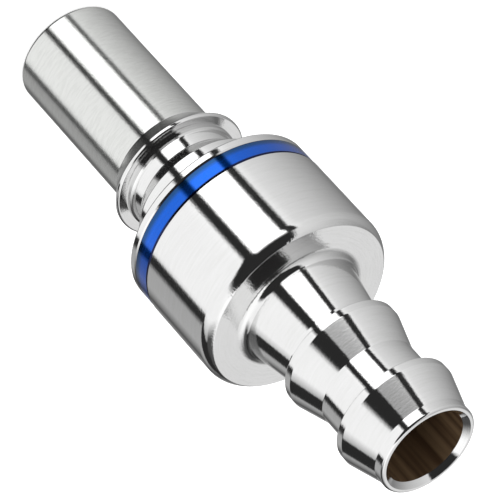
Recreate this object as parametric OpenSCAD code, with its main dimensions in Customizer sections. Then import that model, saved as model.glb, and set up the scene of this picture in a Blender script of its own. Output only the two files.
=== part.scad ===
// Plug half of a non-spill liquid cooling quick coupling, with an in-line hose barb.
// It stands on its nose face: the origin is at the centre of that face and +Z runs
// up the flow axis to the tip of the barb. All sizes are in millimetres.

/* [Nose] */
// Diameter of the plain nose that enters the socket half
nose_d = 13.6; // [12:0.1:18]
// Length of the plain nose, from its face to the latch flange
nose_len = 20.7; // [14:0.1:30]
// Edge radius at the nose face
nose_edge = 0.5; // [0.2:0.1:0.9]
// Wall of the nose around the valve chamber
nose_wall = 1.3; // [1:0.1:1.8]

/* [Latch flange and groove] */
// Height of the flange over the nose, measured radially
flange_rise = 1.65; // [1:0.05:3]
// Axial length of the cone that leads up to the flange
flange_lead = 2.3; // [1.4:0.1:3.4]
// Axial length of the flange rim
flange_rim = 0.5; // [0.45:0.05:2]
// Axial length of the steep face behind the rim
latch_face = 0.1; // [0.05:0.05:0.6]
// Axial length of the small cone between that face and the groove floor
seat_len = 0.6; // [0.4:0.05:1.2]
// Height of that cone, measured radially
seat_rise = 0.25; // [0.1:0.05:0.4]
// Axial length of the groove floor that the latch balls sit in
groove_len = 1.45; // [1.2:0.05:4]
// How far the floor falls towards the collar, measured radially
floor_fall = 0.15; // [0:0.05:0.3]
// Depth of the groove floor under the nose surface, measured radially
groove_drop = 0.05; // [0:0.05:0.2]
// Axial length of the ramp from the groove floor up to the neck
ramp_len = 2.2; // [1.6:0.1:4]
// Height of the neck over the nose, measured radially
neck_rise = 1.65; // [1:0.05:3]
// Axial length of the neck between the ramp and the collar
neck_len = 3.65; // [2.5:0.05:6]
// Fillet radius at the ends of the groove and of the neck
groove_fillet = 0.3; // [0.1:0.05:0.5]
// Edge radius of the flange rim, the neck and the front of the collar
rim_edge = 0.25; // [0.1:0.05:0.4]

/* [Collar] */
// Diameter of the collar
collar_d = 24; // [22.5:0.1:32]
// Axial length of the plated land in front of the identification ring
land_len = 1.05; // [0.6:0.05:2]
// How far the land lies under the collar surface, measured radially
land_drop = 0.05; // [0:0.05:0.4]
// Length of the plain collar behind the ring
collar_len = 12.25; // [10:0.05:20]
// Axial length of the rounding at the back of the collar
round_len = 1.65; // [0.8:0.05:2.5]
// Radial depth at which that rounding meets the back face
round_drop = 0.75; // [0.3:0.05:0.8]
// Edge radius where they meet
back_edge = 0.12; // [0.05:0.01:0.2]

/* [Identification ring] */
// Axial width of the ring
ring_w = 2.4; // [2:0.1:5]
// Radial thickness of the ring
ring_t = 1.25; // [0.8:0.05:1.5]
// How far the ring lies under the collar surface, measured radially
ring_drop = 0.05; // [0:0.05:0.3]
// Chamfer on the edges of the ring and of the faces beside it
ring_chamfer = 0.15; // [0.05:0.05:0.3]

/* [Hose barb] */
// Diameter over the barb crests
crest_d = 14.7; // [13.6:0.1:18]
// Diameter between the barbs and at the tip
root_d = 12.1; // [11.8:0.1:13.2]
// Length of the tapered stem behind the collar
stem_taper_len = 6.8; // [4:0.1:10]
// Length of the plain stretch before the first barb
stem_len = 1.15; // [0.6:0.05:6]
// Diameter at the thick end of the stem
stem_d = 14.7; // [13.6:0.1:16]
// Radius of the fillet between the stem and the collar
stem_fillet = 1.1; // [0.4:0.1:1.4]
// Length of the land along each barb crest
crest_land = 1; // [0.5:0.05:1.4]
// Length of the cone of each barb, from its crest to the root
barb_cone_len = 4.3; // [3:0.1:6]
// Distance from one barb to the next
barb_pitch = 9.8; // [7:0.1:14]
// Number of barbs
barb_count = 2; // [1:1:4]
// Length of the plain lip at the tip
lip_len = 1.3; // [0.6:0.1:4]
// Edge radius of the barb crests
crest_edge = 0.4; // [0.2:0.05:0.6]
// Edge radius on the outside of the tip
tip_edge = 0.3; // [0.1:0.05:0.45]

/* [Flow bore] */
// Diameter of the bore through the barb
bore_d = 9.8; // [7:0.1:10]
// Chamfer at the mouth of the bore
bore_chamfer = 0.6; // [0.2:0.1:0.8]
// Length of the funnel between the guide and the bore
funnel_len = 3; // [2:0.1:6]

/* [Screwed joint] */
// Major diameter of the thread that joins the nose to the barb
thread_d = 19.6; // [19:0.1:20]
// Length of the threaded spigot on the nose
thread_len = 5.35; // [4.8:0.05:8]
// Room left between the end of the spigot and the floor of the socket
thread_end_gap = 0.2; // [0.1:0.1:0.5]
// Depth of the O-ring groove on the spigot
body_seal_depth = 1.3; // [1:0.05:1.4]
// Axial width of the O-ring groove on the spigot
body_seal_w = 1.9; // [1.5:0.1:2.2]
// Width of the wall between that groove and the end of the spigot
body_seal_wall = 0.7; // [0.5:0.1:1]

/* [Valve] */
// Depth of the mouth that the poppet's O-ring seals in
mouth_len = 4.2; // [3.6:0.1:6]
// Radial width of the conical stop behind the mouth
seat_w = 0.9; // [0.7:0.05:1.1]
// Travel of the poppet from closed to open
poppet_travel = 6; // [3:0.1:7]
// Thickness of the stop flange on the poppet
stop_t = 1.1; // [0.8:0.1:2]
// Radial reach of the stop flange over the poppet head
stop_reach = 0.6; // [0.4:0.05:0.6]
// Number of flow scallops round the stop flange
scallop_count = 3; // [3:1:4]
// Radius of each flow scallop
scallop_r = 2.4; // [1.5:0.1:3]
// Room between the spring and the floor of each scallop
scallop_margin = 0.15; // [0.1:0.05:0.3]
// How far each scallop runs into the land of the head
scallop_lead = 0.3; // [0.2:0.1:0.5]
// Diameter of the poppet stem
stem_rod_d = 3; // [2.4:0.1:3.4]
// Axial width of the O-ring groove on the poppet head
poppet_seal_w = 1.5; // [1.2:0.1:1.7]
// Depth of the O-ring groove on the poppet head
poppet_seal_depth = 1.1; // [0.8:0.05:1.2]
// Distance of that groove from the poppet face
poppet_seal_z = 1.4; // [1:0.1:1.8]
// How far the poppet face lies behind the nose face when closed
poppet_recess = 0.1; // [0.1:0.05:0.3]
// Chamfer at the mouth, on the poppet face and at the stem end
lead_chamfer = 0.25; // [0.1:0.05:0.4]

/* [Valve spring] */
// Wire diameter
wire_d = 0.8; // [0.5:0.05:1]
// Diameter of the coil, measured at the middle of the wire
coil_d = 6.9; // [6.4:0.1:7.4]
// Length of the spring with the valve closed
spring_len = 18; // [14:0.1:21]
// Number of working coils
coils = 6; // [4:0.5:8]

/* [Valve guide] */
// Diameter of the spring seat on the guide
seat_disc_d = 8.8; // [8.2:0.1:9.4]
// Thickness of the spring seat
seat_disc_t = 1.2; // [0.8:0.1:2]
// Length of the pilots inside the two ends of the spring
pilot_len = 2.2; // [1.6:0.1:3]
// Diameter of the pilots and of the guide's hub
hub_d = 4.9; // [4.4:0.1:5.2]
// Thickness of the guide's rim and arms
rim_t = 3; // [2:0.1:4]
// Radial width of the guide's rim
rim_w = 1.25; // [1:0.05:1.6]
// Number of arms between the hub and the rim
arm_count = 3; // [3:1:4]
// Width of each arm
arm_w = 2; // [1.2:0.1:2.4]
// Wall of the spigot between the guide pocket and the thread
pocket_wall = 2.3; // [2.1:0.1:2.5]

/* [Fits] */
// Radial clearance of the poppet head, its stem and the guide rim
run_fit = 0.05; // [0.02:0.01:0.09]
// Radial clearance of the screwed joint and under the ring
close_fit = 0.05; // [0.02:0.01:0.09]
// Clearance between the poppet's O-ring and the mouth, and at the conical stop
seal_fit = 0.03; // [0.02:0.01:0.05]
// Axial clearance at each end of the spring
spring_fit = 0.05; // [0.02:0.01:0.1]

/* [Hidden] */
$fn = 96;
// Steps along each rounded corner of a profile
arc_steps = 7;
// Extra length that makes a cut pass cleanly through a face
over = 1;

// Heights along the flow axis, from the nose face to the tip of the barb
z_rim = nose_len + flange_lead;
z_latch = z_rim + flange_rim;
z_groove = z_latch + latch_face;
z_seat = z_groove + seat_len;
z_ramp = z_seat + groove_len;
z_neck = z_ramp + ramp_len;
z_land = z_neck + neck_len;
z_ring = z_land + land_len;
z_collar = z_ring + ring_w;
z_back = z_collar + collar_len;
z_stem = z_back + stem_taper_len;
z_barb = z_stem + stem_len;
barb_len = crest_land + barb_cone_len;
z_tip = z_barb + (barb_count - 1) * barb_pitch + barb_len + lip_len;

// Radii of the nose, the flange, the collar and the ring
nose_r = nose_d / 2;
flange_r = nose_r + flange_rise;
groove_r = nose_r - groove_drop;
floor_r = groove_r + floor_fall;
neck_r = nose_r + neck_rise;
collar_r = collar_d / 2;
land_r = collar_r - land_drop;
ring_out_r = collar_r - ring_drop;
ring_in_r = ring_out_r - ring_t;
ring_seat_r = ring_in_r - close_fit;

// Rounding at the back of the collar: an arc that leaves the side smoothly and meets
// the back face at an edge
round_turn = 2 * atan(round_drop / round_len);
round_side = round_drop / sin(round_turn);
z_round = z_back - round_side * cos(round_turn);
round_r = (round_side - back_edge * tan((90 - round_turn) / 2)) / tan(round_turn / 2);

// Radii of the barb and its bore
stem_r = stem_d / 2;
crest_r = crest_d / 2;
root_r = root_d / 2;
bore_r = bore_d / 2;

// Screwed joint: the spigot is on the nose, the socket in the collar
thread_r = thread_d / 2;
socket_r = thread_r + close_fit;
z_socket_floor = z_collar + thread_len;
z_spigot_end = z_socket_floor - thread_end_gap;
z_body_seal_top = z_spigot_end - body_seal_wall;
body_seal_floor_r = thread_r - body_seal_depth;
body_seal_cord_r = (socket_r - body_seal_floor_r) / 2;

// Valve chamber inside the nose, and the mouth that the poppet closes
chamber_r = nose_r - nose_wall;
mouth_r = chamber_r - seat_w;
z_chamber = mouth_len + seat_w;
pocket_r = thread_r - pocket_wall;
z_pocket = z_socket_floor - rim_t;

// Poppet
head_r = mouth_r - run_fit;
stop_r = head_r + stop_reach;
z_stop = mouth_len + stop_reach;
z_spring_seat = z_stop + stop_t;
poppet_seal_floor_r = head_r - poppet_seal_depth;
poppet_seal_cord_r = (mouth_r - seal_fit - poppet_seal_floor_r) / 2;
z_poppet_seal = poppet_recess + poppet_seal_z;
stem_rod_r = stem_rod_d / 2;
hub_r = hub_d / 2;
z_rod_end = z_socket_floor - poppet_travel;

// Spring and guide
coil_r = coil_d / 2;
wire_r = wire_d / 2;
z_spring = z_spring_seat + spring_fit;
z_disc = z_spring + spring_len + spring_fit;
rim_out_r = pocket_r - run_fit;
rim_in_r = rim_out_r - rim_w;

// A profile is a list of [radius, height, corner radius]; its corners become arcs.
function unit(v) = v / norm(v);

function corner(before, at, after, r) =
    let (
        inward = unit(before - at),
        outward = unit(after - at),
        half = acos(inward * outward) / 2,
        centre = at + unit(inward + outward) * r / sin(half),
        start = at + inward * r / tan(half) - centre,
        end = at + outward * r / tan(half) - centre,
        from = atan2(start.y, start.x),
        swing = atan2(end.y, end.x) - from,
        sweep = swing > 180 ? swing - 360 : swing < -180 ? swing + 360 : swing
    )
    [for (i = [0 : arc_steps])
        centre + r * [cos(from + sweep * i / arc_steps), sin(from + sweep * i / arc_steps)]];

function flat(p) = [p[0], p[1]];

function rounded(path) =
    let (n = len(path))
    [for (i = [0 : n - 1])
        each path[i][2] == 0
            ? [flat(path[i])]
            : corner(flat(path[(i + n - 1) % n]), flat(path[i]), flat(path[(i + 1) % n]), path[i][2])];

module turned(path) {
    rotate_extrude() polygon(rounded(path));
}

// Front body: nose, latch flange and groove, neck, ring seat and threaded spigot
module nose_body() {
    color("gainsboro") turned([
        [mouth_r + lead_chamfer, 0, 0],
        [nose_r, 0, nose_edge],
        [nose_r, nose_len, rim_edge],
        [flange_r, z_rim, rim_edge],
        [flange_r, z_latch, rim_edge],
        [floor_r + seat_rise, z_groove, 0],
        [floor_r, z_seat, 0],
        [groove_r, z_ramp, groove_fillet],
        [neck_r, z_neck, rim_edge],
        [neck_r, z_land, groove_fillet],
        [land_r, z_land, rim_edge],
        [land_r, z_ring - ring_chamfer, 0],
        [land_r - ring_chamfer, z_ring, 0],
        [ring_seat_r, z_ring, 0],
        [ring_seat_r, z_collar, 0],
        [thread_r, z_collar, 0],
        [thread_r, z_body_seal_top - body_seal_w, 0],
        [body_seal_floor_r, z_body_seal_top - body_seal_w, 0],
        [body_seal_floor_r, z_body_seal_top, 0],
        [thread_r, z_body_seal_top, 0],
        [thread_r, z_spigot_end - lead_chamfer, 0],
        [thread_r - lead_chamfer, z_spigot_end, 0],
        [pocket_r, z_spigot_end, 0],
        [pocket_r, z_pocket, 0],
        [chamber_r, z_pocket, 0],
        [chamber_r, z_chamber, 0],
        [mouth_r, mouth_len, 0],
        [mouth_r, lead_chamfer, 0]
    ]);
}

// One barb, from its steep back to the end of its cone
function barb(z) = [
    [root_r, z, 0],
    [crest_r, z, crest_edge],
    [crest_r, z + crest_land, crest_edge],
    [root_r, z + barb_len, rim_edge]
];

// Rear body: collar with the threaded socket, tapered stem and hose barb
module hose_tail() {
    color("gainsboro") turned([
        [socket_r, z_collar, 0],
        [collar_r - ring_chamfer, z_collar, 0],
        [collar_r, z_collar + ring_chamfer, 0],
        [collar_r, z_round, round_r],
        [collar_r - round_drop, z_back, back_edge],
        [stem_r, z_back, stem_fillet],
        [root_r, z_stem, rim_edge],
        each [for (i = [0 : barb_count - 1]) each barb(z_barb + i * barb_pitch)],
        [root_r, z_tip, tip_edge],
        [bore_r + bore_chamfer, z_tip, 0],
        [bore_r, z_tip - bore_chamfer, 0],
        [bore_r, z_socket_floor + funnel_len, 0],
        [rim_in_r, z_socket_floor, 0],
        [socket_r, z_socket_floor, 0]
    ]);
}

// Coloured ring, held between the land of the nose and the front of the collar
module identification_ring() {
    color("royalblue") turned([
        [ring_in_r, z_ring, 0],
        [ring_out_r - ring_chamfer, z_ring, 0],
        [ring_out_r, z_ring + ring_chamfer, 0],
        [ring_out_r, z_collar - ring_chamfer, 0],
        [ring_out_r - ring_chamfer, z_collar, 0],
        [ring_in_r, z_collar, 0]
    ]);
}

// An O-ring lying in its groove, touching the groove floor
module o_ring(floor_r, cord_r, z) {
    color("dimgray") translate([0, 0, z]) rotate_extrude()
        translate([floor_r + cord_r, 0]) circle(r = cord_r, $fn = 32);
}

module body_seal() {
    o_ring(body_seal_floor_r, body_seal_cord_r, z_body_seal_top - body_seal_w / 2);
}

module poppet_seal() {
    o_ring(poppet_seal_floor_r, poppet_seal_cord_r, z_poppet_seal + poppet_seal_w / 2);
}

// Poppet: flat head with its O-ring groove, scalloped stop flange, spring pilot and stem
module valve_poppet() {
    scallop_floor_r = coil_r + wire_r + scallop_margin;
    color("darkkhaki") difference() {
        turned([
            [0, poppet_recess, 0],
            [head_r - lead_chamfer, poppet_recess, 0],
            [head_r, poppet_recess + lead_chamfer, 0],
            [head_r, z_poppet_seal, 0],
            [poppet_seal_floor_r, z_poppet_seal, 0],
            [poppet_seal_floor_r, z_poppet_seal + poppet_seal_w, 0],
            [head_r, z_poppet_seal + poppet_seal_w, 0],
            [head_r, mouth_len, 0],
            [stop_r, z_stop, 0],
            [stop_r, z_spring_seat, 0],
            [hub_r, z_spring_seat, 0],
            [hub_r, z_spring_seat + pilot_len, 0],
            [stem_rod_r, z_spring_seat + pilot_len + hub_r - stem_rod_r, 0],
            [stem_rod_r, z_rod_end - lead_chamfer, 0],
            [stem_rod_r - lead_chamfer, z_rod_end, 0],
            [0, z_rod_end, 0]
        ]);
        for (i = [0 : scallop_count - 1])
            rotate([0, 0, i * 360 / scallop_count])
                translate([scallop_floor_r + scallop_r, 0, mouth_len - scallop_lead])
                    cylinder(r = scallop_r, h = z_spring_seat - mouth_len + scallop_lead + over);
    }
}

// Spring: the two end coils lie closed, the working coils are evenly spaced
end_lead = 1.1 * wire_d;
turns = coils + 2;
work_lead = (spring_len - wire_d - 2 * end_lead) / coils;
steps_per_turn = 18;
wire_sides = 8;

function spring_z(turn) =
    turn < 1 ? turn * end_lead
    : turn > turns - 1 ? end_lead + coils * work_lead + (turn - turns + 1) * end_lead
    : end_lead + (turn - 1) * work_lead;

function wire_ring(turn) = [for (k = [0 : wire_sides - 1])
    let (
        around = 360 * k / wire_sides,
        r = coil_r + wire_r * cos(around),
        z = z_spring + wire_r + spring_z(turn) + wire_r * sin(around)
    )
    [r * cos(360 * turn), r * sin(360 * turn), z]];

module valve_spring() {
    rings = turns * steps_per_turn;
    points = [for (i = [0 : rings]) each wire_ring(i / steps_per_turn)];
    start_cap = [[for (k = [0 : wire_sides - 1]) k]];
    end_cap = [[for (k = [wire_sides - 1 : -1 : 0]) rings * wire_sides + k]];
    sides = [for (i = [0 : rings - 1], k = [0 : wire_sides - 1])
        let (
            a = i * wire_sides + k,
            b = i * wire_sides + (k + 1) % wire_sides
        )
        [a, a + wire_sides, b + wire_sides, b]];
    color("silver") polyhedron(points, concat(start_cap, sides, end_cap), convexity = 10);
}

// Guide: rim and arms clamped behind the chamber, hub for the stem, seat for the spring
module valve_guide() {
    color("burlywood") difference() {
        union() {
            difference() {
                translate([0, 0, z_pocket]) cylinder(r = rim_out_r, h = rim_t);
                translate([0, 0, z_pocket - over]) cylinder(r = rim_in_r, h = rim_t + 2 * over);
            }
            for (i = [0 : arm_count - 1])
                rotate([0, 0, i * 360 / arm_count])
                    translate([0, -arm_w / 2, z_pocket])
                        cube([rim_in_r + rim_w / 2, arm_w, rim_t]);
            translate([0, 0, z_disc - pilot_len]) cylinder(r = hub_r, h = z_socket_floor - z_disc + pilot_len);
            translate([0, 0, z_disc]) cylinder(r = seat_disc_d / 2, h = seat_disc_t);
        }
        translate([0, 0, z_disc - pilot_len - over])
            cylinder(r = stem_rod_r + run_fit, h = z_socket_floor - z_disc + pilot_len + 2 * over);
    }
}

nose_body();
hose_tail();
identification_ring();
body_seal();
valve_poppet();
poppet_seal();
valve_spring();
valve_guide();
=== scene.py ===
"""Looks, stage and camera for the plug half of a non-spill liquid cooling quick coupling.

The coupling stands on its nose face with +Z up its flow axis. Sizes are in millimetres
where they are named, and in metres in the meshes. Azimuth is 0 towards -Y, where the
camera stands, and grows towards +X.
"""

import math

import bmesh
import bpy
import numpy as np
from mathutils import Matrix, Vector


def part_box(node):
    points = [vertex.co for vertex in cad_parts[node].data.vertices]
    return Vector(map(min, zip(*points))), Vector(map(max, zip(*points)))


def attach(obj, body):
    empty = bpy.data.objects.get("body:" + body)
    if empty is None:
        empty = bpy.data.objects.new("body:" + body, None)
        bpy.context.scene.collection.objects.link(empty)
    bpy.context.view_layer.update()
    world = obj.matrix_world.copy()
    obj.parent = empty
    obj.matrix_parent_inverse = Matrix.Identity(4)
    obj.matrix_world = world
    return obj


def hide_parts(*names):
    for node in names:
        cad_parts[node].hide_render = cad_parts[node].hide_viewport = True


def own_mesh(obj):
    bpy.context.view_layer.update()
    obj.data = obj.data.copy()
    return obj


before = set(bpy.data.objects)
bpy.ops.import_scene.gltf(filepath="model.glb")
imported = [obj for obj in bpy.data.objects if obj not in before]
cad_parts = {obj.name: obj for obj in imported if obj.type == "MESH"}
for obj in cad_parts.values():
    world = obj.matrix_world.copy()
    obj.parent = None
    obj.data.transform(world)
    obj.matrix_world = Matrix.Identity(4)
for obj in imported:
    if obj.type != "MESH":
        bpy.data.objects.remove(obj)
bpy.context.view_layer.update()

MM = 0.001
ROUND = 288          # steps round the flow axis on a turned piece
ARC_STEPS = 10       # steps along each rounded edge
SHARP = 0.0


# ---------------------------------------------------------------- sizes, in millimetres
def box_mm(node):
    """The lowest and the highest corner of a CAD node's box."""
    low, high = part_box(node)
    return np.array(low) / MM, np.array(high) / MM


Z_TIP = box_mm("hose_tail")[1][2]
Z_RING, Z_COLLAR = (corner[2] for corner in box_mm("identification_ring"))
Z_SPIGOT_END = box_mm("nose_body")[1][2]
COLLAR_R = 12.0
NOSE_R = 6.8
NOSE_LEN = 20.7
NOSE_EDGE = 0.5
FLANGE_R = 8.45
GROOVE_R = 6.75
LAND_R = COLLAR_R - 0.05
RING_OUT_R = COLLAR_R - 0.05
RING_IN_R = RING_OUT_R - 1.25
RING_SEAT_R = RING_IN_R - 0.05
RING_CHAMFER = 0.15
Z_RIM = NOSE_LEN + 2.3
Z_LATCH = Z_RIM + 0.5
Z_GROOVE = Z_LATCH + 0.02        # the latch face is nearly flat
Z_SEAT_BREAK = Z_GROOVE + 0.38   # the small seat behind it runs straight to here
Z_SEAT_FOOT = Z_GROOVE + 0.55    # and falls nearly to the groove floor by here
Z_SEAT = Z_LATCH + 0.7
Z_RAMP = Z_SEAT + 1.45
Z_NECK = Z_RAMP + 2.2
Z_LAND = Z_RING - 1.05
FLOOR_R = GROOVE_R + 0.15
SEAT_R = FLOOR_R + 0.25
NECK_R = FLANGE_R
RIM_EDGE = 0.25
GROOVE_FILLET = 0.3
THREAD_R = 9.8
SOCKET_R = THREAD_R + 0.05
POCKET_R = 7.5
CHAMBER_R = 5.5
MOUTH_R = 4.6
MOUTH_LEN = 4.2
Z_CHAMBER = MOUTH_LEN + CHAMBER_R - MOUTH_R
LEAD_CHAMFER = 0.25
Z_SOCKET_FLOOR = Z_SPIGOT_END + 0.2
Z_POCKET = Z_SOCKET_FLOOR - 3.0
BODY_SEAL_FLOOR_R = THREAD_R - 1.3
BODY_SEAL_W = 1.9
Z_BODY_SEAL_TOP = Z_SPIGOT_END - 0.7
Z_BACK = Z_COLLAR + 12.25
ROUND_LEN = 1.65     # the rounding at the back of the collar, along the axis
ROUND_DROP = 0.75    # and across it, where it meets the back face at an edge
BACK_EDGE = 0.12
STEM_R = CREST_R = 7.35
STEM_FILLET = 1.1
ROOT_R = 6.05
Z_STEM = Z_BACK + 6.8
Z_BARB = Z_STEM + 1.15
CREST_EDGE = 0.4
CREST_FRONT_EDGE = 0.12
CREST_LAND = 1.0
BARB_LEN = 5.3
BARB_PITCH = 9.8
TIP_EDGE = 0.3
BORE_R = 4.9
BORE_CHAMFER = 0.6
FUNNEL_R = 6.2
Z_FUNNEL = Z_SOCKET_FLOOR + 3.0
WIRE_R = 0.4
COIL_R = 3.45


# ---------------------------------------------------------------- colours and nodes
def linear(hex_colour):
    """Linear RGBA of an sRGB hex colour such as "#2A5FD8"."""
    out = []
    for k in (1, 3, 5):
        c = int(hex_colour[k:k + 2], 16) / 255
        out.append(c / 12.92 if c <= 0.04045 else ((c + 0.055) / 1.055) ** 2.4)
    return (*out, 1.0)


def add(tree, kind, links=None, **settings):
    """Adds one node: settings are its own properties, links its inputs (a value or a socket)."""
    made = tree.nodes.new(kind)
    for key, value in settings.items():
        setattr(made, key, value)
    for socket, value in (links or {}).items():
        if isinstance(value, bpy.types.NodeSocket):
            tree.links.new(value, made.inputs[socket])
        else:
            made.inputs[socket].default_value = value
    return made


def maths(tree, operation, *values):
    """The output of one Math node."""
    return add(tree, "ShaderNodeMath", dict(enumerate(values)), operation=operation).outputs[0]


def ramp(tree, factor, stops):
    """A straight colour ramp through (position, colour) stops."""
    made = add(tree, "ShaderNodeValToRGB", {0: factor})
    band = made.color_ramp
    while len(band.elements) < len(stops):
        band.elements.new(0.5)
    for element, (at, colour) in zip(band.elements, stops):
        element.position = at
        element.color = colour
    return made.outputs["Color"]


def between(tree, value, low, high, out_low, out_high, kind="SMOOTHSTEP"):
    """Value carried from low..high to out_low..out_high, held at the ends."""
    return add(tree, "ShaderNodeMapRange", {
        "Value": value, "From Min": low, "From Max": high,
        "To Min": out_low, "To Max": out_high}, interpolation_type=kind).outputs["Result"]


def mix_colour(tree, factor, first, second, mode="MIX"):
    """First at factor 0, second at factor 1."""
    return add(tree, "ShaderNodeMix", {0: factor, 6: first, 7: second},
               data_type="RGBA", blend_type=mode).outputs[2]


# ---------------------------------------------------------------- camera
VIEW_OFF_AXIS = math.radians(56.0)   # between the flow axis and the line of sight
AXIS_DROP = math.radians(48.0)       # how far the flow axis falls to the right in the picture
CAMERA_REACH = 0.436                 # from the point looked at, in metres
LOOK_AT = Vector((0, 0, 0.036))
LENS_MM = 283.0
AIM_RIGHT, AIM_UP = 0.0008, -0.0007  # how far the camera stands aside from that point


def make_camera():
    """A long lens above the coupling, rolled so that the flow axis runs down to the right."""
    away = Vector((0, -math.sin(VIEW_OFF_AXIS), math.cos(VIEW_OFF_AXIS)))
    along = Vector((0, math.cos(VIEW_OFF_AXIS), math.sin(VIEW_OFF_AXIS)))
    across = away.cross(along)
    right = math.cos(AXIS_DROP) * along + math.sin(AXIS_DROP) * across
    up = -math.sin(AXIS_DROP) * along + math.cos(AXIS_DROP) * across
    data = bpy.data.cameras.new("camera")
    data.lens = LENS_MM
    data.sensor_width = 36
    data.clip_start, data.clip_end = 0.01, 20
    camera = bpy.data.objects.new("camera", data)
    place = LOOK_AT + away * CAMERA_REACH + right * AIM_RIGHT + up * AIM_UP
    camera.matrix_world = Matrix((
        (right.x, up.x, away.x, place.x),
        (right.y, up.y, away.y, place.y),
        (right.z, up.z, away.z, place.z),
        (0, 0, 0, 1)))
    bpy.context.scene.collection.objects.link(camera)
    bpy.context.scene.camera = camera


make_camera()


# ---------------------------------------------------------------- studio
CHROME_LEVEL = 0.70                 # what the plating gives back; the tent is brighter by as much
KEY_GLOW = (1.35, 1.35, 1.35, 1.0)  # how much brighter the key card is than the pale cloth
FLOOR_TOP_UP = 0.5                  # what the lit floor lacks of white, and a little more

# The few tones that the tent is made of.
WHITE, PALE, SHEET, GREY = "#FFFFFF", "#F0F0F0", "#D8D8D8", "#A0A0A0"
DUSK, SHADE, INK = "#6C6C6C", "#484848", "#282828"


def studio_world():
    """Plain white to the camera. Every other ray meets a tent of pale cloth round the coupling, in
    which dark gaps stand between the cards, so it lights dull surfaces and shows in polished ones.
    Each edge is a smooth step in azimuth that moves with elevation. Angles are in degrees."""
    world = bpy.data.worlds.new("studio")
    bpy.context.scene.world = world
    world.use_nodes = True
    tree = world.node_tree
    tree.nodes.clear()
    way = add(tree, "ShaderNodeTexCoord").outputs["Generated"]
    parts = add(tree, "ShaderNodeSeparateXYZ", {0: way}).outputs
    back = maths(tree, "MULTIPLY", parts[1], -1.0)
    azimuth = maths(tree, "MULTIPLY", maths(tree, "ARCTAN2", parts[0], back), 180 / math.pi)
    elevation = maths(tree, "MULTIPLY", maths(tree, "ARCSINE", parts[2]), 180 / math.pi)
    turn = between(tree, azimuth, -180, 180, 0, 1, "LINEAR")
    rise = between(tree, elevation, -33, 0, 0, 1, "LINEAR")
    late_rise = maths(tree, "POWER", rise, 2.2)
    lift = between(tree, elevation, 3, 65, 0, 1, "LINEAR")

    def step(at_low, at_high, soft, climb):
        """0 before an edge and 1 after it; the edge moves from at_low to at_high as climb grows."""
        edge = between(tree, climb, 0, 1, at_low, at_high, "LINEAR")
        past = maths(tree, "DIVIDE", maths(tree, "SUBTRACT", azimuth, edge), soft)
        return between(tree, past, -1, 1, 0, 1)

    def band(left, right, climb=rise):
        """1 between two edges, each (azimuth below, azimuth above, softness)."""
        return maths(tree, "MULTIPLY", step(*left, climb),
                     maths(tree, "SUBTRACT", 1.0, step(*right, climb)))

    def cloth(cards):
        """The pale cloth, as (azimuth, colour) round the tent."""
        return ramp(tree, turn, [((a + 180) / 360, linear(c)) for a, c in cards])

    ink = linear(INK)
    # Level with the coupling: a sheet at the right that darkens to the back, the key card, a bright
    # sheet at the left and a grey card behind that, with dark gaps between them.
    low = cloth((
        (-180, GREY), (-160, DUSK), (-60, SHEET), (-40, WHITE), (0, WHITE), (20, PALE),
        (80, PALE), (100, GREY), (130, GREY), (150, SHADE), (180, GREY)))
    key = band((-44, -46, 3), (1, 1, 3))
    over_key = between(tree, elevation, -6, 2, 0, 1)
    low = mix_colour(tree, maths(tree, "MULTIPLY", key, over_key), low, linear(GREY))
    gaps = band((-49, -51, 2), (-39, -40, 2))
    gaps = maths(tree, "MAXIMUM", gaps, band(
        (-1, -4, 2), (11, 27, between(tree, late_rise, 0, 1, 3, 6)), late_rise))
    gaps = maths(tree, "MAXIMUM", gaps, band((86, 104, 2), (100, 157, 4)))
    low = mix_colour(tree, gaps, low, ink)

    # Under the coupling: grey cloth, and straight below it a dark stand.
    under = cloth((
        (-180, SHADE), (-120, GREY), (-40, PALE), (-5, PALE), (0, INK), (10, INK),
        (30, PALE), (80, SHEET), (100, GREY), (180, SHADE)))
    under = mix_colour(tree, between(tree, elevation, -65, -55, 1, 0), under, ink)
    low = mix_colour(tree, between(tree, elevation, -56, -47, 1, 0), low, under)

    # Over the coupling: the dark of the room before and over the camera, between two tall cards.
    high = cloth((
        (-180, SHEET), (-150, DUSK), (-60, SHEET), (40, PALE), (80, PALE), (100, SHADE),
        (160, SHADE), (180, SHEET)))
    top = cloth((
        (-180, SHEET), (-140, GREY), (-50, SHEET), (60, WHITE), (110, WHITE), (180, SHEET)))
    sky = mix_colour(tree, between(tree, elevation, 17, 45, 0, 1), high, top)
    sky = mix_colour(tree, band((-45, -54, 4), (33, 56, 7), lift), sky, ink)
    seen = mix_colour(tree, between(tree, elevation, 3, 7, 0, 1), low, sky)

    # The key card is brighter than the cloth: it burns out on the plating and lights up the ring.
    burn = maths(tree, "MULTIPLY", key, maths(
        tree, "MULTIPLY", maths(tree, "SUBTRACT", 1.0, over_key),
        between(tree, elevation, -52, -46, 0, 1)))
    seen = mix_colour(tree, burn, seen, KEY_GLOW, "MULTIPLY")
    path = add(tree, "ShaderNodeLightPath").outputs
    plain = add(tree, "ShaderNodeBackground", {"Color": (1, 1, 1, 1), "Strength": 1.0})
    tent = add(tree, "ShaderNodeBackground", {"Color": seen, "Strength": 1 / CHROME_LEVEL})
    mixed = add(tree, "ShaderNodeMixShader", {
        0: path["Is Camera Ray"], 1: tent.outputs[0], 2: plain.outputs[0]})
    add(tree, "ShaderNodeOutputWorld", {"Surface": mixed.outputs[0]})


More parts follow.
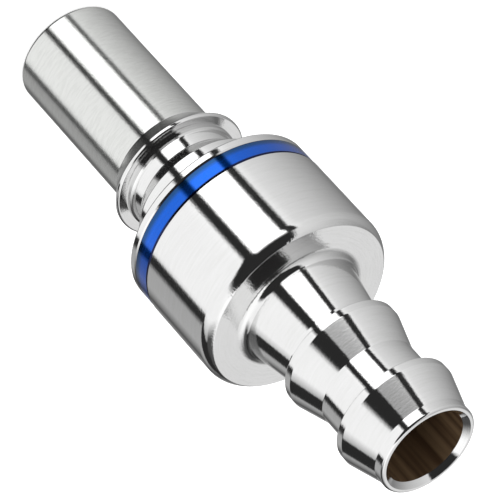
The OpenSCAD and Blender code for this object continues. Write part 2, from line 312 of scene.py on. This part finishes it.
def make_floor():
    """A round white floor. It takes the soft shadow and is topped up to white for the camera,
    which sees through it from beneath, so that the nose end can be looked at. It is hidden from
    reflections, which meet the tent instead."""
    reach, steps = 3.0, 96
    turn = np.arange(steps) * 2 * np.pi / steps
    ring = np.stack([reach * np.cos(turn), reach * np.sin(turn), np.zeros(steps)], axis=1)
    mesh = bpy.data.meshes.new("floor")
    mesh.from_pydata(ring.tolist(), [], [list(range(steps))])
    floor = bpy.data.objects.new("floor", mesh)
    bpy.context.scene.collection.objects.link(floor)
    floor.visible_glossy = False
    surface = bpy.data.materials.new("white_paper_sweep")
    surface.use_nodes = True
    tree = surface.node_tree
    tree.nodes.clear()
    path = add(tree, "ShaderNodeLightPath").outputs
    paper = add(tree, "ShaderNodeBsdfDiffuse", {"Color": linear("#F0F0F0")}).outputs[0]
    glow = add(tree, "ShaderNodeEmission", {
        "Color": (1, 1, 1, 1),
        "Strength": maths(tree, "MULTIPLY", path["Is Camera Ray"], FLOOR_TOP_UP)}).outputs[0]
    both = add(tree, "ShaderNodeAddShader", {0: paper, 1: glow}).outputs[0]
    beneath = maths(tree, "MULTIPLY", path["Is Camera Ray"],
                    add(tree, "ShaderNodeNewGeometry").outputs["Backfacing"])
    clear = add(tree, "ShaderNodeBsdfTransparent").outputs[0]
    sheet = add(tree, "ShaderNodeMixShader", {0: beneath, 1: both, 2: clear}).outputs[0]
    add(tree, "ShaderNodeOutputMaterial", {"Surface": sheet})
    mesh.materials.append(surface)


def soft_light(name, place, size, watts):
    """A square soft box aimed at the middle of the coupling. It is hidden from reflections."""
    data = bpy.data.lights.new(name, "AREA")
    data.shape = "SQUARE"
    data.size = size
    data.energy = watts
    lamp = bpy.data.objects.new(name, data)
    lamp.location = place
    lamp.rotation_mode = "QUATERNION"
    lamp.rotation_quaternion = (Vector(place) - LOOK_AT).to_track_quat("Z", "Y")
    lamp.visible_glossy = False
    bpy.context.scene.collection.objects.link(lamp)


studio_world()
make_floor()
soft_light("overhead_soft_box", (-0.35, -0.25, 1.1), 1.2, 7.0)
soft_light("side_soft_box", (0.9, -0.5, 0.7), 1.0, 3.0)
bpy.context.scene.view_settings.view_transform = "Standard"


# ---------------------------------------------------------------- finishes
def finish_start(name):
    """A new material with only a Principled shader on its output."""
    made = bpy.data.materials.new(name)
    made.use_nodes = True
    tree = made.node_tree
    tree.nodes.clear()
    shader = add(tree, "ShaderNodeBsdfPrincipled")
    add(tree, "ShaderNodeOutputMaterial", {"Surface": shader.outputs[0]})
    return made, tree, shader


def on_object(tree):
    """The X, Y and Z of the point on the object, in metres."""
    return add(tree, "ShaderNodeSeparateXYZ",
               {0: add(tree, "ShaderNodeTexCoord").outputs["Object"]}).outputs


def tool_marks(tree, pitch_mm, stretch_mm, detail=3.0):
    """Noise that runs round a turned piece: fine along the profile, long round the axis."""
    place = on_object(tree)
    along = add(tree, "ShaderNodeSeparateXYZ",
                {0: add(tree, "ShaderNodeUVMap", uv_map="profile").outputs[0]}).outputs[1]
    across = 1 / (stretch_mm * MM)
    vector = add(tree, "ShaderNodeCombineXYZ", {
        0: maths(tree, "MULTIPLY", place[0], across),
        1: maths(tree, "MULTIPLY", place[1], across),
        2: maths(tree, "MULTIPLY", along, 1 / (pitch_mm * MM))}).outputs[0]
    return add(tree, "ShaderNodeTexNoise", {
        "Vector": vector, "Scale": 1.0, "Detail": detail, "Roughness": 0.6}).outputs[0]


def cloudy(tree, size_mm, detail=3.0):
    """Slow, even noise whose blots are about size_mm across."""
    place = add(tree, "ShaderNodeTexCoord").outputs["Object"]
    return add(tree, "ShaderNodeTexNoise", {
        "Vector": place, "Scale": 1 / (size_mm * MM), "Detail": detail}).outputs[0]


def relief(tree, shader, strength, height):
    """Fine relief in the shading alone, of a height socket that stands for 0.02 mm."""
    bump = add(tree, "ShaderNodeBump", {
        "Strength": strength, "Distance": 0.02 * MM, "Height": height})
    tree.links.new(bump.outputs[0], shader.inputs["Normal"])


def chrome_plated_brass():
    """Decorative chrome on turned and buffed brass: a cool mirror in which fine tool marks still
    run round the piece. The nose slides in its socket: it is a little more matt, and scuffed."""
    made, tree, shader = finish_start("chrome_plated_brass")
    marks = tool_marks(tree, 0.16, 9.0)
    streaks = tool_marks(tree, 0.4, 2.6, 2.0)
    blots = cloudy(tree, 5.0)
    height = on_object(tree)[2]
    nose = between(tree, height, (NOSE_LEN - 0.4) * MM, (NOSE_LEN + 0.4) * MM, 1, 0)
    tone = ramp(tree, blots, [(0.3, linear("#DADADA")), (0.7, linear("#DDDDDD"))])
    tone = mix_colour(tree, between(tree, marks, 0.35, 0.75, 0, 0.16), tone, linear("#CACAC7"))
    tone = mix_colour(tree, between(tree, streaks, 0.4, 0.75, 0, 0.13), tone, linear("#C6C6C3"))
    tone = mix_colour(tree, nose, tone, linear("#D2D3D1"))
    fine = tool_marks(tree, 0.22, 1.6, 2.0)
    scuffs = maths(tree, "MULTIPLY", nose, between(tree, fine, 0.42, 0.62, 0, 0.11))
    tree.links.new(mix_colour(tree, scuffs, tone, linear("#A4A4A1")), shader.inputs["Base Color"])
    buffed = between(tree, nose, 0, 1, 0.065, 0.17)
    tree.links.new(maths(tree, "ADD", buffed, between(tree, marks, 0.3, 0.75, 0.0, 0.03)),
                   shader.inputs["Roughness"])
    shader.inputs["Metallic"].default_value = 1.0
    # The marks blur a reflection along the profile and hardly at all round the piece.
    shader.inputs["Anisotropic"].default_value = 0.7
    shader.inputs["Anisotropic Rotation"].default_value = 0.25
    grain = add(tree, "ShaderNodeTangent", direction_type="UV_MAP", uv_map="profile")
    tree.links.new(grain.outputs[0], shader.inputs["Tangent"])
    grit = maths(tree, "ADD", fine, cloudy(tree, 0.25, 2.0))
    grit = maths(tree, "MULTIPLY", grit, between(tree, nose, 0, 1, 1, 1.5))
    # The flat back of the collar was faced off and never buffed, so its grain is stronger.
    faced = maths(tree, "MULTIPLY",
                  between(tree, height, (Z_BACK - 0.5) * MM, (Z_BACK - 0.1) * MM, 0, 1),
                  between(tree, height, (Z_BACK + 0.1) * MM, (Z_BACK + 0.4) * MM, 1, 0))
    grit = maths(tree, "MULTIPLY", grit, between(tree, faced, 0, 1, 1, 5))
    relief(tree, shader, 0.16, grit)
    return made


def dull_brass_bore():
    """Bare brass inside the bore, which the plating doesn't reach: brown and dull from the
    plating bath, with lighter streaks along the drill's path."""
    made, tree, shader = finish_start("dull_brass_bore")
    along = add(tree, "ShaderNodeMapping", {
        "Vector": add(tree, "ShaderNodeTexCoord").outputs["Object"],
        "Scale": (1 / (0.9 * MM), 1 / (0.9 * MM), 1 / (25 * MM))}).outputs[0]
    streaks = add(tree, "ShaderNodeTexNoise", {
        "Vector": along, "Scale": 1.0, "Detail": 2.0}).outputs[0]
    tree.links.new(ramp(tree, streaks, [(0.33, linear("#503B2A")), (0.67, linear("#80694F"))]),
                   shader.inputs["Base Color"])
    tree.links.new(between(tree, streaks, 0.3, 0.7, 0.35, 0.5), shader.inputs["Roughness"])
    shader.inputs["Metallic"].default_value = 0.35
    return made


def blue_anodised_aluminium():
    """Turned aluminium, dyed blue and sealed: a deep metallic blue under a thin clear oxide, with
    fine tool marks round it."""
    made, tree, shader = finish_start("blue_anodised_aluminium")
    marks = tool_marks(tree, 0.14, 12.0)
    height = on_object(tree)[2]
    dye = ramp(tree, marks, [(0.3, linear("#0055C2")), (0.7, linear("#045DD2"))])
    # The front edge of the ring leans to teal.
    front = between(tree, height, (Z_RING + 0.4) * MM, (Z_RING + 1.2) * MM, 1, 0)
    dye = mix_colour(tree, front, dye, linear("#0E467C"))
    # Both turned edges are nearly black: painted shade in the gaps where the ring meets the plated
    # pieces.
    painted_gap_shade = maths(tree, "MAXIMUM",
                   between(tree, height, (Z_RING + 0.14) * MM, (Z_RING + 0.3) * MM, 1, 0),
                   between(tree, height, (Z_COLLAR - 0.3) * MM, (Z_COLLAR - 0.14) * MM, 0, 1))
    tree.links.new(mix_colour(tree, painted_gap_shade, dye, linear("#001040")), shader.inputs["Base Color"])
    tree.links.new(between(tree, marks, 0.3, 0.75, 0.08, 0.13), shader.inputs["Roughness"])
    shader.inputs["Metallic"].default_value = 0.9
    shader.inputs["Coat Weight"].default_value = 0.22
    shader.inputs["Coat Roughness"].default_value = 0.03
    shader.inputs["Coat IOR"].default_value = 1.6
    return made


def moulded_epdm():
    """Moulded EPDM rubber: nearly black, with a faint grey bloom and a fine matt skin."""
    made, tree, shader = finish_start("moulded_epdm")
    bloom = cloudy(tree, 1.2)
    tree.links.new(ramp(tree, bloom, [(0.3, linear("#1B1B1C")), (0.75, linear("#2A2A2C"))]),
                   shader.inputs["Base Color"])
    tree.links.new(between(tree, bloom, 0.3, 0.7, 0.5, 0.65), shader.inputs["Roughness"])
    relief(tree, shader, 0.15, cloudy(tree, 0.08, 2.0))
    return made


def turned_metal(name, dark, light, roughness, spread):
    """Bare turned metal on a milled or cut piece: noise about 6 mm long across the axis, and
    0.2 mm from mark to mark along it."""
    made, tree, shader = finish_start(name)
    place = add(tree, "ShaderNodeMapping", {
        "Vector": add(tree, "ShaderNodeTexCoord").outputs["Object"],
        "Scale": (160.0, 160.0, 5200.0)}).outputs[0]
    marks = add(tree, "ShaderNodeTexNoise", {
        "Vector": place, "Scale": 1.0, "Detail": 3.0}).outputs[0]
    tree.links.new(ramp(tree, marks, [(0.3, linear(dark)), (0.7, linear(light))]),
                   shader.inputs["Base Color"])
    tree.links.new(between(tree, marks, 0.3, 0.7, roughness, roughness + spread),
                   shader.inputs["Roughness"])
    shader.inputs["Metallic"].default_value = 1.0
    relief(tree, shader, 0.08, marks)
    return made


chrome = chrome_plated_brass()
bore = dull_brass_bore()
anodised = blue_anodised_aluminium()
rubber = moulded_epdm()
# Nickel-plated brass of the poppet, bare brass of the guide, drawn stainless spring wire.
poppet_plate = turned_metal("nickel_plated_brass", "#B9B4A6", "#CBC6B8", 0.16, 0.12)
guide_brass = turned_metal("bare_turned_brass", "#B08A45", "#C9A25A", 0.22, 0.14)
spring_wire = turned_metal("drawn_stainless_wire", "#9C9C9A", "#B6B6B4", 0.24, 0.1)


# ---------------------------------------------------------------- surfaces
def new_piece(name, mesh, body, slot, node, *finishes):
    """Puts a finished mesh in the scene as the piece that stands for a CAD node."""
    piece = bpy.data.objects.new(name, mesh)
    for finish in finishes:
        mesh.materials.append(finish)
    bpy.context.scene.collection.objects.link(piece)
    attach(piece, body)
    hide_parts(node)
    return piece


def profile(corners):
    """A closed profile from (radius, height, corner radius) corners, run anticlockwise. A corner of
    radius q becomes an arc that touches both its sides: its centre lies q / sin(half angle) from
    the corner on the bisector, and its normal turns evenly from one side's to the other's.
    Returns the points, and each stretch's outward normal angle at its start and at its end."""
    at = np.array([c[:2] for c in corners], float)
    before, after = np.roll(at, 1, axis=0), np.roll(at, -1, axis=0)
    side = after - at
    outward = np.arctan2(-side[:, 0], side[:, 1])
    points, starts, ends = [], [], []
    for k, (_, _, q) in enumerate(corners):
        facing_in, facing_out = outward[k - 1], outward[k]
        if q == SHARP:
            points.append(at[k])
            starts.append(facing_out)
            ends.append(facing_out)
            continue
        inward = (before[k] - at[k]) / np.linalg.norm(before[k] - at[k])
        onward = (after[k] - at[k]) / np.linalg.norm(after[k] - at[k])
        half = math.acos(np.clip(inward @ onward, -1, 1)) / 2
        middle = inward + onward
        centre = at[k] + middle / np.linalg.norm(middle) * q / math.sin(half)
        swing = (facing_out - facing_in + math.pi) % (2 * math.pi) - math.pi
        turned = facing_in + swing * np.arange(ARC_STEPS + 1) / ARC_STEPS
        bulge = math.copysign(q, swing)
        arc = centre + bulge * np.stack([np.cos(turned), np.sin(turned)], axis=1)
        points.extend(arc)
        starts.extend(turned[:-1])
        ends.extend(turned[1:])
        starts.append(facing_out)
        ends.append(facing_out)
    return np.array(points), np.array(starts), np.array(ends)


def turned(name, corners):
    """A profile carried once round the flow axis: (r cos t, r sin t, z). Its shading normals are
    the exact ones, (cos n cos t, cos n sin t, sin n) for a stretch whose normal angle is n, and
    its map "profile" is (share of the turn, length along the profile in metres)."""
    points, starts, ends = profile(corners)
    count = len(points)
    turn = np.arange(ROUND + 1) * 2 * np.pi / ROUND
    r, z = points[:, :1] * MM, points[:, 1:] * MM
    grid = np.stack([r * np.cos(turn[:-1]), r * np.sin(turn[:-1]),
                     np.broadcast_to(z, (count, ROUND))], axis=2)
    i, j = np.meshgrid(np.arange(count), np.arange(ROUND), indexing="ij")
    i2, j2 = (i + 1) % count, (j + 1) % ROUND
    faces = np.stack([i * ROUND + j, i * ROUND + j2, i2 * ROUND + j2, i2 * ROUND + j], axis=2)
    mesh = bpy.data.meshes.new(name)
    mesh.from_pydata(grid.reshape(-1, 3).tolist(), [], faces.reshape(-1, 4).tolist())
    mesh.shade_smooth()
    first, last = starts[:, None], ends[:, None]
    here, there = turn[None, :-1], turn[None, 1:]

    def facing(n, t):
        return np.stack([np.cos(n) * np.cos(t), np.cos(n) * np.sin(t),
                         np.broadcast_to(np.sin(n), (count, ROUND))], axis=2)

    normals = np.stack([facing(first, here), facing(first, there),
                        facing(last, there), facing(last, here)], axis=2)
    mesh.normals_split_custom_set(normals.reshape(-1, 3).tolist())
    step = np.linalg.norm(np.roll(points, -1, axis=0) - points, axis=1) * MM
    start = np.concatenate([[0], np.cumsum(step)[:-1]])
    share = turn / (2 * np.pi)
    u = np.stack([share[:-1], share[1:], share[1:], share[:-1]], axis=1)[None]
    v = np.stack([start, start, start + step, start + step], axis=1)[:, None]
    uv = np.stack([np.broadcast_to(u, (count, ROUND, 4)),
                   np.broadcast_to(v, (count, ROUND, 4))], axis=3)
    layer = mesh.uv_layers.new(name="profile")
    layer.data.foreach_set("uv", uv.astype(np.float32).ravel())
    return mesh, points


def finish_by_place(mesh, points, inside):
    """Gives the stretches whose middle is inside(radius, height) the piece's second finish."""
    middle = (points + np.roll(points, -1, axis=0)) / 2
    chosen = inside(middle[:, 0], middle[:, 1]).astype(np.int32)
    mesh.polygons.foreach_set("material_index", np.repeat(chosen, ROUND))


def make_nose_body():
    """Front body: nose, latch flange and groove, neck, ring seat and threaded spigot."""
    mesh, points = turned("nose_body_chrome", [
        (MOUTH_R + LEAD_CHAMFER, 0, SHARP),
        (NOSE_R, 0, NOSE_EDGE),
        (NOSE_R, NOSE_LEN, RIM_EDGE),
        (FLANGE_R, Z_RIM, RIM_EDGE),
        (FLANGE_R, Z_LATCH, RIM_EDGE),
        (SEAT_R, Z_GROOVE, SHARP),
        (SEAT_R - 0.03, Z_SEAT_BREAK, SHARP),
        (FLOOR_R + 0.03, Z_SEAT_FOOT, SHARP),
        (FLOOR_R, Z_SEAT, SHARP),
        (GROOVE_R, Z_RAMP, GROOVE_FILLET),
        (NECK_R, Z_NECK, RIM_EDGE),
        (NECK_R, Z_LAND, GROOVE_FILLET),
        (LAND_R, Z_LAND, RIM_EDGE),
        (LAND_R, Z_RING - RING_CHAMFER, SHARP),
        (LAND_R - RING_CHAMFER, Z_RING, SHARP),
        (RING_SEAT_R, Z_RING, SHARP),
        (RING_SEAT_R, Z_COLLAR, SHARP),
        (THREAD_R, Z_COLLAR, SHARP),
        (THREAD_R, Z_BODY_SEAL_TOP - BODY_SEAL_W, SHARP),
        (BODY_SEAL_FLOOR_R, Z_BODY_SEAL_TOP - BODY_SEAL_W, SHARP),
        (BODY_SEAL_FLOOR_R, Z_BODY_SEAL_TOP, SHARP),
        (THREAD_R, Z_BODY_SEAL_TOP, SHARP),
        (THREAD_R, Z_SPIGOT_END - LEAD_CHAMFER, SHARP),
        (THREAD_R - LEAD_CHAMFER, Z_SPIGOT_END, SHARP),
        (POCKET_R, Z_SPIGOT_END, SHARP),
        (POCKET_R, Z_POCKET, SHARP),
        (CHAMBER_R, Z_POCKET, SHARP),
        (CHAMBER_R, Z_CHAMBER, SHARP),
        (MOUTH_R, MOUTH_LEN, SHARP),
        (MOUTH_R, LEAD_CHAMFER, SHARP)])
    finish_by_place(mesh, points, lambda r, z: (r < CHAMBER_R + 0.1) & (z > MOUTH_LEN + 0.1))
    new_piece("nose_body_chrome", mesh, "plug", "plated_brass", "nose_body", chrome, bore)


def make_hose_tail():
    """Rear body: collar, tapered stem, two barbs, lip and bore. The rounding at the back of the
    collar turns through 2 atan(drop / length), so that it leaves the side smoothly."""
    swing = 2 * math.atan(ROUND_DROP / ROUND_LEN)
    side = ROUND_DROP / math.sin(swing)
    edge = BACK_EDGE * math.tan((math.pi / 2 - swing) / 2)
    barbs = []
    for z in (Z_BARB, Z_BARB + BARB_PITCH):
        barbs += [(ROOT_R, z, SHARP), (CREST_R, z, CREST_FRONT_EDGE),
                  (CREST_R, z + CREST_LAND, CREST_EDGE), (ROOT_R, z + BARB_LEN, RIM_EDGE)]
    mesh, points = turned("hose_tail_chrome", [
        (SOCKET_R, Z_COLLAR, SHARP),
        (COLLAR_R - RING_CHAMFER, Z_COLLAR, SHARP),
        (COLLAR_R, Z_COLLAR + RING_CHAMFER, SHARP),
        (COLLAR_R, Z_BACK - side * math.cos(swing), (side - edge) / math.tan(swing / 2)),
        (COLLAR_R - ROUND_DROP, Z_BACK, BACK_EDGE),
        (STEM_R, Z_BACK, STEM_FILLET),
        (ROOT_R, Z_STEM, RIM_EDGE),
        *barbs,
        (ROOT_R, Z_TIP, TIP_EDGE),
        (BORE_R + BORE_CHAMFER, Z_TIP, SHARP),
        (BORE_R, Z_TIP - BORE_CHAMFER, SHARP),
        (BORE_R, Z_FUNNEL, SHARP),
        (FUNNEL_R, Z_SOCKET_FLOOR, SHARP),
        (SOCKET_R, Z_SOCKET_FLOOR, SHARP)])
    finish_by_place(mesh, points,
                    lambda r, z: (r < BORE_R + 0.01) | ((r < FUNNEL_R) & (z < Z_FUNNEL)))
    new_piece("hose_tail_chrome", mesh, "plug", "plated_brass", "hose_tail", chrome, bore)


def make_ring():
    """Blue ring, held between the land of the nose and the front of the collar."""
    mesh, _ = turned("identification_ring_blue", [
        (RING_IN_R, Z_RING, SHARP),
        (RING_OUT_R - RING_CHAMFER, Z_RING, SHARP),
        (RING_OUT_R, Z_RING + RING_CHAMFER, SHARP),
        (RING_OUT_R, Z_COLLAR - RING_CHAMFER, SHARP),
        (RING_OUT_R - RING_CHAMFER, Z_COLLAR, SHARP),
        (RING_IN_R, Z_COLLAR, SHARP)])
    new_piece("identification_ring_blue", mesh, "plug", "blue_anodised", "identification_ring",
              anodised)


def tube(name, path, radius, sides, closed):
    """A round cord of one radius along a path that turns about the flow axis: each point plus
    radius (cos k outward + sin k up). Its ends are capped unless it closes on itself."""
    count = len(path)
    outward = path * (1, 1, 0)
    outward /= np.linalg.norm(outward, axis=1, keepdims=True)
    k = np.arange(sides) * 2 * np.pi / sides
    grid = path[:, None] + radius * (np.cos(k)[None, :, None] * outward[:, None]
                                     + np.sin(k)[None, :, None] * np.array([0, 0, 1.0]))
    rows = count if closed else count - 1
    i, j = np.meshgrid(np.arange(rows), np.arange(sides), indexing="ij")
    i2, j2 = (i + 1) % count, (j + 1) % sides
    faces = np.stack([i * sides + j, i2 * sides + j, i2 * sides + j2, i * sides + j2], axis=2)
    faces = faces.reshape(-1, 4).tolist()
    if not closed:
        faces.append(list(range(sides)))
        faces.append([(count - 1) * sides + n for n in range(sides)][::-1])
    mesh = bpy.data.meshes.new(name)
    mesh.from_pydata((grid.reshape(-1, 3) * MM).tolist(), [], faces)
    mesh.shade_smooth()
    mesh.set_sharp_from_angle(angle=math.radians(50))
    return mesh


def make_seal(name, body, node):
    """An O-ring: a circle of the cord's radius carried round the flow axis."""
    low, high = box_mm(node)
    cord_r = (high[2] - low[2]) / 2
    steps = 192
    turn = np.arange(steps) * 2 * np.pi / steps
    r = high[0] - cord_r
    path = np.stack([r * np.cos(turn), r * np.sin(turn),
                     np.full(steps, (low[2] + high[2]) / 2)], axis=1)
    new_piece(name, tube(name, path, cord_r, 32, True), body, "epdm", node, rubber)


def make_spring():
    """Drawn wire wound on the flow axis: six working coils between two that lie closed."""
    low, high = (corner[2] for corner in box_mm("valve_spring"))
    end_lead, coils = 1.1 * 2 * WIRE_R, 6
    turns = coils + 2
    lead = (high - low - 2 * WIRE_R - 2 * end_lead) / coils
    turn = np.linspace(0, turns, turns * 48 + 1)
    climb = np.interp(turn, [0, 1, turns - 1, turns],
                      [0, end_lead, end_lead + coils * lead, 2 * end_lead + coils * lead])
    path = np.stack([COIL_R * np.cos(2 * np.pi * turn), COIL_R * np.sin(2 * np.pi * turn),
                     low + WIRE_R + climb], axis=1)
    piece = new_piece("valve_spring_wire", tube("valve_spring_wire", path, WIRE_R, 16, False),
                      "plug", "spring_steel", "valve_spring", spring_wire)
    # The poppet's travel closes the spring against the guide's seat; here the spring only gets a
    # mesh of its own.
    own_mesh(piece)


def softened_copy(name, node, body, slot, finish, width_mm):
    """A CAD node's surface, merged, with its edges broken by a narrow bevel. Where the edges are
    too short for it the bevel closes up, as it does on the whole of the guide."""
    mesh = bpy.data.meshes.new(name)
    work = bmesh.new()
    work.from_mesh(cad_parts[node].data)
    bmesh.ops.remove_doubles(work, verts=work.verts, dist=1e-6)
    bmesh.ops.dissolve_limit(work, angle_limit=math.radians(0.5), verts=work.verts,
                             edges=work.edges)
    work.to_mesh(mesh)
    work.free()
    mesh.materials.clear()
    mesh.shade_smooth()
    piece = new_piece(name, mesh, body, slot, node, finish)
    edge = piece.modifiers.new("broken_edges", "BEVEL")
    edge.width = width_mm * MM
    edge.segments = 2
    edge.limit_method = "ANGLE"
    edge.angle_limit = math.radians(25)
    edge.harden_normals = True


make_nose_body()
make_hose_tail()
make_ring()
make_seal("body_seal_ring", "plug", "body_seal")
make_seal("poppet_seal_ring", "poppet", "poppet_seal")
make_spring()
softened_copy("valve_poppet_turned", "valve_poppet", "poppet", "valve_metal", poppet_plate, 0.06)
softened_copy("valve_guide_brass", "valve_guide", "plug", "bare_brass", guide_brass, 0.06)
